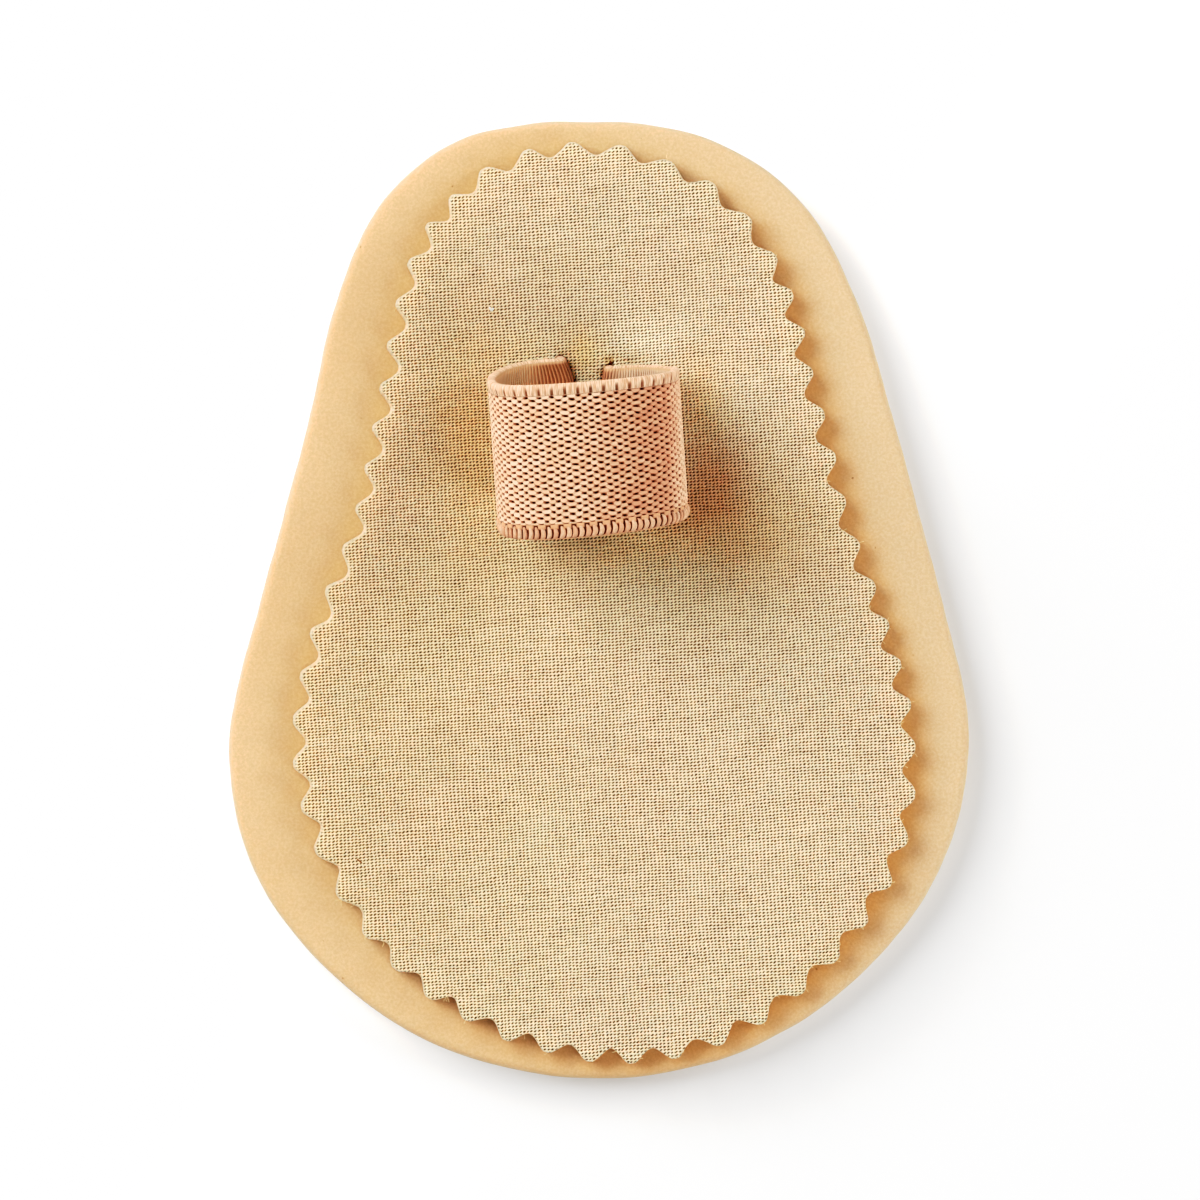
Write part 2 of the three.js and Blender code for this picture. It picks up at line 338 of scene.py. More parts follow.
class Graph:
    """A short way to write a material's nodes."""

    def __init__(self, name):
        self.material = bpy.data.materials.new(name)
        self.material.use_nodes = True
        self.tree = self.material.node_tree
        self.shader = self.tree.nodes["Principled BSDF"]

    def node(self, kind, inputs=(), **settings):
        made = self.tree.nodes.new(kind)
        for key, value in settings.items():
            setattr(made, key, value)
        for key, value in dict(inputs).items():
            self.put(value, made.inputs[key])
        return made

    def put(self, value, socket):
        if isinstance(value, bpy.types.NodeSocket):
            self.tree.links.new(value, socket)
        else:
            socket.default_value = value

    def set(self, **values):
        """Values or links for the shader's sockets, with _ for the spaces in their names."""
        for key, value in values.items():
            self.put(value, self.shader.inputs[key.replace("_", " ")])

    def math(self, operation, *values):
        return self.node("ShaderNodeMath", enumerate(values), operation=operation).outputs[0]

    def add(self, a, b):
        return self.math("ADD", a, b)

    def less(self, a, b):
        return self.math("SUBTRACT", a, b)

    def times(self, a, b):
        return self.math("MULTIPLY", a, b)

    def larger(self, a, b):
        return self.math("MAXIMUM", a, b)

    def size(self, value):
        return self.math("ABSOLUTE", value)

    def wrap(self, value):
        return self.math("WRAP", value, 0.5, -0.5)

    def oval(self, across, along, half_width, half_length):
        """Square of the distance from the middle of an oval, 1 on its edge."""
        across, along = self.times(across, 1 / half_width), self.times(along, 1 / half_length)
        return self.add(self.times(across, across), self.times(along, along))

    def place(self):
        return self.node("ShaderNodeTexCoord").outputs["Object"]

    def split(self, vector):
        return self.node("ShaderNodeSeparateXYZ", {0: vector}).outputs

    def join(self, x, y, z=0.0):
        return self.node("ShaderNodeCombineXYZ", {0: x, 1: y, 2: z}).outputs[0]

    def value(self, name):
        return self.node("ShaderNodeAttribute", attribute_name=name).outputs["Fac"]

    def noise(self, vector, per_metre, detail=2.0, rough=0.5, output="Fac"):
        """Noise about one half. Its output Color is three noises, to move a pattern by."""
        made = self.node(
            "ShaderNodeTexNoise",
            {"Vector": vector, "Scale": per_metre, "Detail": detail, "Roughness": rough})
        return made.outputs[output]

    def chance(self, vector):
        """Random numbers that stay the same for the same whole numbers."""
        return self.node("ShaderNodeTexWhiteNoise", {"Vector": vector}).outputs

    def ramp(self, value, low, high, low_to=0.0, high_to=1.0, smooth=True):
        made = self.node(
            "ShaderNodeMapRange",
            {"Value": value, "From Min": low, "From Max": high, "To Min": low_to,
             "To Max": high_to},
            interpolation_type="SMOOTHSTEP" if smooth else "LINEAR")
        return made.outputs[0]

    def fall(self, value, low, high):
        return self.ramp(value, low, high, 1.0, 0.0)

    def blend(self, share, first, second, kind="MIX"):
        made = self.node(
            "ShaderNodeMix", {"Factor": share, 6: first, 7: second}, data_type="RGBA",
            blend_type=kind, clamp_result=True)
        return made.outputs[2]

    def tinted(self, colour, tints):
        """The colour times each tint, where the mesh's values of the tint's name say so."""
        for name, tint in tints.items():
            colour = self.blend(self.value(name), colour, (*tint, 1.0), "MULTIPLY")
        return colour

    def bump(self, height, depth_mm):
        return self.node("ShaderNodeBump", {"Height": height, "Distance": depth_mm * MM}).outputs[0]

    def scatter(self, weight, reach, radius):
        """Light that spreads under the surface, red the furthest."""
        self.shader.subsurface_method = "BURLEY"
        self.set(Subsurface_Weight=weight, Subsurface_Scale=reach, Subsurface_Radius=radius)


def shade(red, green, blue):
    """A colour as seen on a screen, in numbers to 255, as the linear colour that nodes use."""
    def linear(part):
        part /= 255
        return part / 12.92 if part <= 0.04045 else ((part + 0.055) / 1.055) ** 2.4
    return (linear(red), linear(green), linear(blue), 1.0)


# Painted light and shade, as tints of red, green and blue, standing for the light that the pieces
# throw on each other
FOAM_PAINTED_LIGHT = {"shaded_side": (1.04, 0.8, 0.54), "lit_side": (1.07, 1.06, 0.96)}
CLOTH_PAINTED_LIGHT = {
    "painted_glow": (1.05, 0.88, 0.66), "painted_shade": (0.78, 0.57, 0.48), "painted_light_patch": (1.08, 1.18, 1.22)}


def foam_material():
    g = Graph("foam")
    place = g.place()
    cloudy = g.noise(place, 55, 3)
    grain = g.noise(place, 3800, 2, 0.7)
    x, _, _ = g.split(place)
    warm = g.blend(g.ramp(cloudy, 0.3, 0.7), shade(227, 190, 150), shade(230, 195, 156))
    tone = g.blend(g.ramp(x, -0.02, 0.032), warm, shade(223, 194, 160))
    tone = g.blend(g.ramp(grain, 0.3, 0.75), g.blend(0.3, tone, shade(190, 146, 100)), tone)
    pores = g.node("ShaderNodeTexVoronoi", {"Vector": place, "Scale": 900.0}).outputs["Distance"]
    few = g.ramp(g.noise(place, 900, 1), 0.66, 0.7)
    pore = g.times(g.fall(pores, 0.02, 0.16), few)
    # Painted shade in the few pores
    tone = g.blend(g.times(pore, 0.7), tone, shade(150, 98, 44))
    tone = g.blend(g.value("outer_edge"), tone, shade(208, 186, 156))
    # Painted shade and painted glow on the foam beside the cover's edge
    tone = g.tinted(tone, FOAM_PAINTED_LIGHT)
    height = g.add(g.times(grain, 0.6), g.times(g.noise(place, 1500, 2), 0.6))
    height = g.less(height, pore)
    g.set(Base_Color=tone, Roughness=0.85, Specular_IOR_Level=0.15, Normal=g.bump(height, 0.05))
    g.scatter(0.4, 0.003, (1.0, 0.5, 0.25))
    return g.material


def thread_counts(g, place, x, y):
    """How many warp and weft threads lie up to a place, with the sway and shake of the threads."""
    sway_x, sway_y, _ = g.split(g.noise(place, 90, output="Color"))
    shake_x, shake_y, _ = g.split(g.noise(place, 1500, output="Color"))
    across = g.add(g.times(x, math.cos(WARP_LEAN)), g.times(y, math.sin(WARP_LEAN)))
    along = g.add(g.times(y, math.cos(WEFT_RISE)), g.times(x, -math.sin(WEFT_RISE)))
    u = g.add(g.times(across, 1 / (WARP_PITCH * MM)), g.times(sway_x, 2.2))
    v = g.add(g.times(along, 1 / (WEFT_PITCH * MM)), g.times(sway_y, 2.2))
    return g.add(u, g.times(shake_x, 0.65)), g.add(v, g.times(shake_y, 0.65))


def weave_holes(g, u, v, warp_fat, weft_fat):
    """Slanting holes between the threads, each a little different, and the painted shade of their
    depth.
    """
    chances = g.chance(g.join(g.math("FLOOR", u), g.math("FLOOR", v)))["Color"]
    chance_wide, chance_deep, _ = g.split(chances)
    du = g.times(g.wrap(g.add(u, 0.5)), WARP_PITCH)
    dv = g.times(g.wrap(g.add(v, 0.5)), WEFT_PITCH)
    slanted = g.less(dv, g.times(du, 0.4))
    tightness = g.larger(warp_fat, weft_fat)
    spread = g.oval(du, slanted, *CLOTH_HOLE_HALVES)
    spread = g.times(spread, g.ramp(chance_wide, 0.0, 1.0, 0.9, 1.3, smooth=False))
    spread = g.times(spread, g.ramp(tightness, 0.35, 0.75, 0.95, 1.3, smooth=False))
    # Painted shade: the dark colour seen in the holes
    depth = g.blend(chance_deep, shade(122, 88, 50), shade(98, 68, 36))
    return g.fall(spread, 0.3, 1.9), depth


def weave_height(g, u, v, hole):
    """The threads' round tops, each over and under the next, and the holes between them."""
    waves = [g.math("COSINE", g.times(count, math.pi)) for count in (u, v)]
    over = g.times(g.times(*waves), 0.3)
    off_u, off_v = g.wrap(u), g.wrap(v)
    warp_top = g.add(g.less(0.5, g.times(g.times(off_u, off_u), 2.0)), over)
    weft_top = g.less(g.less(0.5, g.times(g.times(off_v, off_v), 2.0)), over)
    return g.less(g.larger(warp_top, weft_top), g.times(hole, 0.6))


def thread_tone(g, place, x, y, warp_fat, weft_fat, height):
    """The cotton's colour, warm near the lamp and paler away from it as painted light, with a painted
    highlight on its crowns.
    """
    patch = g.ramp(g.noise(place, 45, 3), 0.35, 0.65)
    warm = g.blend(patch, shade(244, 214, 168), shade(242, 206, 166))
    pale = g.blend(patch, shade(253, 231, 192), shade(251, 224, 189))
    # Painted light: warmer towards the lamp's side
    outward = g.add(x, g.times(g.size(y), 0.35))
    thread = g.blend(g.ramp(outward, -0.022, 0.02), warm, pale)
    thread = g.blend(g.ramp(warp_fat, 0.3, 0.5, 0.18, 0.0), thread, shade(236, 192, 158))
    thread = g.blend(g.ramp(weft_fat, 0.5, 0.7, 0.0, 0.18), thread, shade(252, 240, 208))
    fibres_seen = g.noise(place, 9000, 2, 0.7)
    thread = g.blend(g.ramp(fibres_seen, 0.4, 0.7, 0.0, 0.5), thread, shade(248, 236, 204))
    # Painted highlight on the threads' crowns
    return g.blend(g.ramp(height, 0.5, 0.8, 0.0, 0.7), thread, shade(248, 236, 204))


def cloth_material():
    g = Graph("cover_cloth")
    place = g.place()
    x, y, _ = g.split(place)
    u, v = thread_counts(g, place, x, y)

    # Each thread is thick and thin along its length
    warp_fat = g.noise(g.join(g.times(g.math("ROUND", u), 3.71), g.times(v, 0.12)), 1.0, 2)
    weft_fat = g.noise(g.join(g.times(u, 0.1), g.times(g.math("ROUND", v), 2.93)), 1.0, 2)
    hole, depth = weave_holes(g, u, v, warp_fat, weft_fat)
    height = weave_height(g, u, v, hole)
    groove = g.fall(g.size(g.wrap(g.add(v, 0.5))), 0.02, 0.26)
    groove = g.times(groove, g.ramp(weft_fat, 0.35, 0.6, 0.6, 0.0))

    thread = thread_tone(g, place, x, y, warp_fat, weft_fat, height)
    # Painted shade in the grooves between the wefts
    thread = g.blend(g.times(groove, 0.8), thread, shade(190, 152, 104))
    # Painted glow, painted shade and painted light patches round the loop tint the cloth
    woven = g.tinted(g.blend(hole, thread, depth), CLOTH_PAINTED_LIGHT)
    cut = g.blend(g.noise(place, 1400, 2), shade(222, 196, 162), shade(238, 220, 192))
    tone = g.blend(g.ramp(g.value("rim"), 0.2, 1.0), cut, woven)
    g.set(Base_Color=tone, Roughness=0.9, Normal=g.bump(height, 0.12))
    g.set(Specular_IOR_Level=0.1, Sheen_Weight=0.15)
    g.scatter(0.5, 0.005, (1.0, 0.4, 0.2))
    return g.material


def yarn_lumps(g, u, v):
    """Lumps of yarn in staggered rows, their side to the lamp, a number for each, and the tapered
    holes between their ends with the dips round them.
    The side to the lamp leaves painted shade on each lump's far side, and the holes and dips take
    painted shade."""
    crown, lit_side, tint, hole, dip_and_shade = 0.0, 0.0, 0.0, 0.0, 0.0
    for shift in (0.0, 0.5):
        lump_u, lump_v, hole_v = g.add(u, shift), g.add(v, shift + 0.5), g.add(v, shift)
        du, dv = g.times(g.wrap(lump_u), YARN_PITCH), g.times(g.wrap(lump_v), ROW_PAIR)
        form = g.less(1.0, g.oval(du, dv, *LUMP_HALVES))
        toward = g.oval(g.add(du, -0.07), g.add(dv, -0.05), *LUMP_HALVES)
        lit_side = g.larger(lit_side, g.less(1.0, toward))
        lump_id = g.join(g.math("ROUND", lump_u), g.math("ROUND", lump_v), shift)
        tint = g.larger(tint, g.times(g.chance(lump_id)["Value"], g.ramp(form, 0.0, 0.3)))
        crown = g.larger(crown, form)
        dv = g.times(g.wrap(hole_v), ROW_PAIR)
        across = g.larger(g.times(du, 1 / HOLE_TAIL), g.times(du, -1 / HOLE_HEAD))
        far = g.add(g.times(across, across), g.math("POWER", g.times(dv, 1 / HOLE_HALF), 2.0))
        hole = g.larger(hole, g.fall(far, 0.12, 0.6))
        dip_and_shade = g.larger(dip_and_shade, g.fall(far, 0.2, 1.7))
    return g.math("SQRT", g.larger(crown, 0.0)), lit_side, tint, hole, dip_and_shade


def edge_grooves(g, u, v):
    """The finished edge at the toe side: short grooves between bars of yarn, faint ones within."""
    bar, half_bar = g.size(g.wrap(g.add(u, 0.5))), g.size(g.wrap(u))
    groove = g.times(g.fall(bar, 0.03, 0.15), g.fall(v, 0.3, 0.8))
    faint = g.times(g.ramp(half_bar, 0.02, 0.09, 0.35, 0.0), g.fall(v, 0.1, 0.7))
    return g.larger(groove, faint)


def stitch_gaps(g, u, v):
    """The stitched edge: a gap above every second stitch, dark with painted shade."""
    bar = g.size(g.wrap(g.add(u, 0.5)))
    return g.times(g.fall(bar, 0.12, 0.24), g.fall(v, -0.1, -0.02))


def face_yarn(g, x, u, v, zone, tint):
    """The colour of the face's yarn: cream where the loop turns to the lamp, with a pinker, darker
    painted shade beyond.
    """
    patch = g.noise(g.join(g.times(u, 0.9), g.times(v, 0.9), zone), 1.0, 2, 0.6)
    cream = g.blend(tint, shade(246, 214, 184), shade(238, 194, 160))
    pink = g.blend(tint, shade(228, 178, 146), shade(214, 154, 124))
    # Painted shade: pinker and darker on the side away from the lamp
    reach = g.add(x, g.times(g.less(patch, 0.5), 0.012))
    far_side_shade = g.times(g.ramp(reach, -0.004, 0.005), g.ramp(x, 0.0062, 0.0078, 1.0, 0.2))
    return g.blend(far_side_shade, cream, pink)


def ribbed_inside(g, x, rib, rim):
    """The colour of the ribs inside the loop, with painted shade and light: brown in its shade, light
    near the bend and where the lamp reaches.
    """
    shaded = g.blend(rib, shade(150, 86, 54), shade(210, 150, 108))
    # Painted light near the bend
    painted_bend_light = g.blend(rib, shade(236, 174, 126), shade(254, 224, 182))
    shaded = g.blend(g.ramp(x, -0.0085, -0.0045), painted_bend_light, shaded)
    lit = g.blend(rib, shade(222, 184, 152), shade(244, 216, 188))
    ribbed = g.blend(g.ramp(x, 0.0, 0.003), shaded, lit)
    return g.blend(g.ramp(rim, 0.65, 0.95, 0.0, 0.8), ribbed, shade(226, 184, 146))


def elastic_material():
    g = Graph("elastic")
    place = g.place()
    x, _, _ = g.split(place)
    u, v, zone, rim, inner = (g.value(name) for name in ROW_VALUES)
    on_face = g.fall(g.size(zone), 0.3, 0.7)
    on_toe_edge = g.fall(g.size(g.less(zone, 1.0)), 0.3, 0.7)
    on_stitched_edge = g.fall(zone, -0.7, -0.3)

    crown, lit_side, tint, hole, dip_and_shade = yarn_lumps(g, u, v)
    hole, dip_and_shade = g.times(hole, on_face), g.times(dip_and_shade, on_face)
    groove = g.times(edge_grooves(g, u, v), on_toe_edge)
    threads = g.noise(g.join(g.times(u, 14.0), g.times(v, 0.8)), 1.0, 1)
    gap = g.times(stitch_gaps(g, u, v), on_stitched_edge)
    shade_under_stitches = g.times(g.fall(v, -0.75, -0.55), on_stitched_edge)
    rib_turn = g.times(u, 2 * math.pi * YARN_PITCH / RIB_PITCH)
    rib = g.math("SINE", g.add(rib_turn, g.times(g.noise(place, 900, 1), 3.0)))
    rib = g.add(g.times(rib, 0.5), 0.5)

    # Painted shade on each lump's side away from the lamp
    painted_lump_shade = g.times(g.fall(lit_side, 0.0, 0.6), on_face)
    yarn = g.blend(g.times(painted_lump_shade, 0.85), face_yarn(g, x, u, v, zone, tint), shade(184, 112, 80))
    edge = g.blend(g.ramp(threads, 0.38, 0.62), shade(216, 166, 134), shade(244, 210, 180))
    tone = g.blend(on_toe_edge, yarn, edge)
    # Painted shade in the grooves of the toe edge
    tone = g.blend(g.times(groove, 0.9), tone, shade(146, 86, 52))
    tone = g.blend(on_stitched_edge, tone, shade(222, 170, 134))
    # Painted shade in the gaps between stitches and on the band under them
    tone = g.blend(gap, tone, shade(100, 44, 22))
    tone = g.blend(shade_under_stitches, tone, shade(130, 70, 42))
    # Painted shade in the dips round the holes and in the holes
    tone = g.blend(dip_and_shade, tone, shade(150, 82, 48))
    tone = g.blend(hole, tone, shade(50, 16, 4))
    tone = g.blend(inner, tone, ribbed_inside(g, x, rib, rim))

    height = g.times(g.less(crown, g.times(dip_and_shade, 0.8)), on_face)
    height = g.less(g.less(height, g.times(groove, 1.2)), gap)
    height = g.add(height, g.times(threads, g.times(on_toe_edge, 0.35)))
    height = g.add(height, g.times(rib, g.times(inner, g.ramp(rim, 0.2, 1.0, 1.0, 0.25))))
    height = g.add(height, g.times(g.noise(place, 6000, 2, 0.7), 0.12))
    g.set(Base_Color=tone, Roughness=0.8, Normal=g.bump(height, 0.22))
    g.set(Specular_IOR_Level=0.2, Sheen_Weight=0.1)
    g.scatter(0.15, 0.001, (1.0, 0.45, 0.25))
    return g.material


def stitch_material():
    g = Graph("edge_stitches")
    tone = g.value("tone")
    yarn = g.blend(g.ramp(tone, 0.3, 0.7), shade(226, 188, 160), shade(216, 168, 140))
    fuzz = g.noise(g.place(), 5000, 2, 0.7)
    yarn = g.blend(g.ramp(fuzz, 0.35, 0.7, 0.35, 0.0), yarn, shade(206, 144, 104))
    g.set(Base_Color=yarn, Roughness=0.8, Specular_IOR_Level=0.2, Normal=g.bump(fuzz, 0.03))
    g.scatter(0.2, 0.0012, (1.0, 0.45, 0.25))
    return g.material


def fibre_material(name, colour):
    g = Graph(name)
    tone = g.blend(g.noise(g.place(), 4000, 2), colour, (0.9, 0.82, 0.7, 1.0), "MULTIPLY")
    g.set(Base_Color=tone, Roughness=0.8)
    return g.material


def floor_material():
    """A white table that glows a little as painted light, most on the side of the lamp."""
    g = Graph("floor")
    x, y, _ = g.split(g.place())
    toward = g.less(g.times(y, 0.6), g.times(x, 0.8))
    g.set(Base_Color=(0.73, 0.73, 0.73, 1.0), Roughness=0.9, Emission_Color=(1.0, 1.0, 1.0, 1.0))
    # Painted light: the floor's glow is strongest towards the lamp
    g.set(Emission_Strength=g.ramp(toward, -0.03, 0.03, 0.1, 0.34))
    return g.material


# The foam pad

RECESS_DEPTH = 1.7
RECESS_MARGIN = 1.2
PALE_EDGE = 0.4
SHADE_REACH = 1.9
GLOW_REACH = 1.5


def beside_cover(places):
    """How near places lie to the cover's edge, for the painted shade where it turns from the lamp and
    the painted glow where it faces it.
    """
    edge = flat_outline("cover", COVER_FOOT)
    edge = blurred(edge, round(len(edge) / TEETH))
    facing = -inward(edge)
    apart = places[:, None, :] - edge[None, ::2, :]
    distance = np.hypot(apart[..., 0], apart[..., 1])
    nearest = distance.argmin(axis=1)
    turned = facing[::2][nearest] @ AWAY_FROM_LAMP
    away = distance.min(axis=1)
    shaded = np.exp(-((away / SHADE_REACH) ** 2)) * np.clip(turned + 0.15, 0, 1)
    lit = np.exp(-((away / GLOW_REACH) ** 2)) * np.clip(-turned, 0, 1)
    return shaded, lit


def pad_side():
    """Rows of the inset and height of the pad's side, from its foot up to its top."""
    foot, top = (np.linspace(0, math.pi / 2, steps + 1) for steps in (FOOT_STEPS, TOP_STEPS))
    insets = [*PAD_FOOT_ROUND * (1 - np.sin(foot)), *PAD_EDGE_BREADTH * (1 - np.cos(top))]
    rises = [*PAD_FOOT_ROUND * (1 - np.cos(foot)), *PAD_TOP - PAD_TOP_ROUND * (1 - np.sin(top))]
    return zip(insets, rises)


def pad_top(x, y):
    """Heights of the pad's top, with the recess where the hidden run of the band lies."""
    height = PAD_TOP + ripple(x, y, 9.0, 5) * 0.02
    across, along = to_loop(x, y)
    reach = np.maximum(
        np.abs(across) / (SLIT_MIDDLE + RECESS_MARGIN),
        np.abs(along) / (BAND_HALF + RECESS_MARGIN))
    return height - RECESS_DEPTH * (1 - np.clip((reach - 1) / 0.12, 0, 1))


def foam_pad():
    outline = refine(flat_outline("foam_base", 0.0), 5)
    outline = outline - inward(outline) * PAD_FOOT_ROUND
    count = len(outline)
    sides = inward(outline)
    rings, edges = [], []
    for inset, height in pad_side():
        rings.append(np.column_stack([outline + sides * inset, np.full(count, height)]))
        edges.append(np.full(count, np.clip(1 - inset / PALE_EDGE, 0, 1) if height > 1 else 1.0))
    wave = ripple(outline[:, 0], outline[:, 1], 5.0, 3) * 0.03
    for ring in rings[FOOT_STEPS:]:
        ring[:, :2] += sides * wave[:, None]
    faces = wall_faces(len(rings), count)
    top_ring = rings[-1][:, :2]
    lid, lid_faces = filled(top_ring, [], grid_inside(top_ring, 0.7, 0.5))
    extra = lid[count:]
    base = len(rings) * count
    points = np.vstack([*rings, np.column_stack([extra, pad_top(extra[:, 0], extra[:, 1])])])
    faces += renumbered(lid_faces, count, base - count, base)
    faces.append(tuple(range(count))[::-1])
    shaded, lit = beside_cover(points[:, :2])
    outer_edge = np.concatenate([*edges, np.zeros(len(extra))])
    piece = new_piece(
        "foam_pad", points, faces, foam_material(), "foam_base",
        {"shaded_side": shaded, "lit_side": lit, "outer_edge": outer_edge})


# The cloth cover. Places across and along are in the loop's turned frame

# The wall's rings: their inset, their share of the height, and how far the woven face has begun
COVER_WALL = [
    (0.0, 0.0, 0.0), (0.04, 0.2, 0.0), (0.1, 0.5, 0.0), (0.16, 0.78, 0.0),
    (0.2, 0.84, 0.1), (0.2, 0.94, 0.3), (0.28, 0.985, 0.6), (0.42, 1.0, 1.0)]

# Where the band pulls the cloth up and down by its slits: height, place, size and turn
CLOTH_HILLS = [
    (-0.3, (0.0, BAND_HALF - 1.0), (2.0, 3.5), 0.0),
    (0.35, (5.5, BAND_HALF + 0.4), (3.2, 1.0), 0.05),
    (-0.45, (2.8, BAND_HALF - 0.25), (0.55, 0.5), 0.0),
    (0.16, (3.9, BAND_HALF + 1.6), (1.2, 1.6), 0.0),
    (0.12, (-4.5, BAND_HALF + 0.8), (2.6, 1.2), -0.2),
    (-0.12, (-1.0, BAND_HALF + 2.4), (2.2, 1.4), 0.0),
]

# Where painted light from the loop and its painted shade tint the cloth: strength, place, size and
# turn
PAINTED_LIGHT_PLACES = {
    "painted_glow": [
        (0.75, (-10.8, 0.0), (4.0, 9.5), 0.0), (0.3, (-6.0, 8.5), (4.0, 2.0), 0.0),
        (0.8, (0.2, 7.6), (1.6, 2.0), 0.0), (0.6, (3.0, -10.2), (9.0, 3.2), 0.0),
        (0.6, (10.8, 1.8), (2.4, 4.5), 0.0), (0.4, (15.0, -10.5), (7.0, 6.0), 0.0)],
    "painted_shade": [
        (0.9, (11.0, -5.4), (3.6, 4.6), -0.3), (0.7, (6.2, -7.8), (3.6, 1.6), 0.0),
        (0.3, (14.0, -9.5), (8.0, 5.0), -0.5)],
    "painted_light_patch": [
        (0.75, (6.5, 8.6), (5.0, 2.4), 0.0), (0.6, (-5.0, 9.6), (3.4, 1.8), 0.0),
        (0.6, (13.0, 1.0), (3.0, 3.0), 0.0)],
}

# Each slit's ends along the band's width, and the gap between the band and the slit's inner side
SLIT_ENDS = {-1: (-6.5, 7.62), 1: (-7.7, 6.42)}
LEG_GAPS = {-1: 0.05, 1: 0.0}
SLIT_STEPS = 60
SLIT_POINTS = 130

# The small torn hole at the end of the right slit: places across, and past the slit's end
TORN_HOLE = [(2.3, 0.05), (2.62, 0.18), (2.82, 0.28), (3.02, 0.2), (3.0, 0.02)]

# Where the cover's face has a finer grid, round the loop
FINE_HALVES = np.array([8, 11])
FINE_SPACING = 0.3


def cloth_lift(x, y):
    """How the cloth rises and dips, mostly where the band pulls at its slits."""
    return ripple(x, y, 11.0, 11) * 0.04 + hills(*to_loop(x, y), CLOTH_HILLS)


def cloth_painted_light(x, y):
    """How far each tint of painted light and shade shows on the cloth, from 0 to 1."""
    return {
        name: np.clip(hills(*to_loop(x, y), rows), 0, 1) for name, rows in PAINTED_LIGHT_PLACES.items()}


def slit_loop(side):
    """A slit's outline: close to the leg on its inner side, under the leg on the other."""
    low, high = SLIT_ENDS[side]
    along = np.linspace(low, high, SLIT_STEPS)
    inner = leg_line(side, along) - LEG_GAPS[side]
    outer = leg_line(side, along) + BAND_BODY + 0.12
    rounding = np.clip((high - along) / 0.35, 0, 1)
    middle = (inner + outer) / 2
    half = (outer - inner) / 2 * np.sqrt(1 - (1 - rounding) ** 2 * 0.9)
    first, second = np.column_stack([middle - half, along]), np.column_stack([middle + half, along])
    torn = [(across, high + past) for across, past in TORN_HOLE] if side > 0 else []
    line = even_steps(np.array([*first, *torn, *second[::-1]]), SLIT_POINTS)
    return np.stack(from_loop(side * line[:, 0], line[:, 1]), axis=1)


def cover_wall(foot, sides):
    """Rings of the cover's wall, wider where it faces the lamp, and how far its face has begun."""
    slack = 1.0 + 0.5 * sides @ AWAY_FROM_LAMP
    rings, rims = [], []
    for inset, share, rim in COVER_WALL:
        flat = foot + sides * (inset * slack)[:, None]
        lift = cloth_lift(flat[:, 0], flat[:, 1]) * share
        rings.append(np.column_stack([flat, PAD_TOP + (COVER_TOP - PAD_TOP) * share + lift]))
        rims.append(np.full(len(foot), rim))
    return rings, rims


def face_points(outline, slits):
    """Points of the cover's face: a grid, finer round the loop and clear of the slits."""
    coarse = grid_inside(outline, 0.9, 2.0)
    across, along = to_loop(coarse[:, 0], coarse[:, 1])
    near = (np.abs(across) < FINE_HALVES[0]) & (np.abs(along) < BAND_HALF + 4)
    fine = np.stack(from_loop(*grid(-FINE_HALVES, FINE_HALVES, FINE_SPACING).T), axis=1)
    points = np.vstack([coarse[~near], fine])
    for slit in slits:
        middle = slit.mean(axis=0)
        points = points[~inside(points, middle + (slit - middle) * 1.25)]
    return points


def cover_cloth():
    foot = refine(flat_outline("cover", COVER_FOOT), 3)
    slits = [turned_left(slit_loop(side)) for side in (-1, 1)]
    count, slit_size = len(foot), len(slits[0])
    mean = blurred(foot, round(count / TEETH))
    sides = inward(mean)
    foot = foot + sides * (ripple(foot[:, 0], foot[:, 1], 2.4, 21) * 0.07)[:, None]
    runs, rims = cover_wall(foot, sides)
    faces = wall_faces(len(runs), count)
    base = len(runs) * count
    lid, lid_faces = filled(runs[-1][:, :2], slits, face_points(mean, slits))
    extra = lid[count:]
    runs.append(np.column_stack([extra, COVER_TOP + cloth_lift(extra[:, 0], extra[:, 1])]))
    rims.append(np.ones(len(extra)))
    faces += renumbered(lid_faces, count, base - count, base)

    # Walls of the slits, and the underside
    under_start = base + len(extra)
    for index, slit in enumerate(slits):
        runs.append(np.column_stack([slit, np.full(slit_size, PAD_TOP)]))
        rims.append(np.full(slit_size, 0.2))
        faces += ring_faces(base + index * slit_size, under_start + index * slit_size, slit_size)
    _, floor_faces = filled(runs[0][:, :2], slits, np.empty((0, 2)))
    faces += [face[::-1] for face in renumbered(floor_faces, count, 0, under_start)]
    points = np.vstack(runs)
    piece = new_piece(
        "cover_cloth", points, faces, cloth_material(), "cover",
        {"rim": np.concatenate(rims), **cloth_painted_light(points[:, 0], points[:, 1])})


# The elastic loop

COLUMNS_PER_YARN = 10
HIDDEN_COLUMNS = 24
LINE_POINTS = 2400

# How far down into the slits the band keeps its fine columns
SEEN_DEPTH = 0.6

# Where the band's inside meets each slit: places along it, and how far they lie from the middle
LEG_LINES = {
    -1: [(-6.0, 1.75), (0.0, 1.5), (4.0, 0.85), (5.2, 0.85), (6.1, 1.1), (6.75, 1.3), (7.5, 1.65)],
    1: [(-7.0, 1.75), (0.0, 1.7), (5.0, 1.7), (5.9, 1.92), (6.3, 2.15)],
}
LEG_PULL_REACH = 3.4

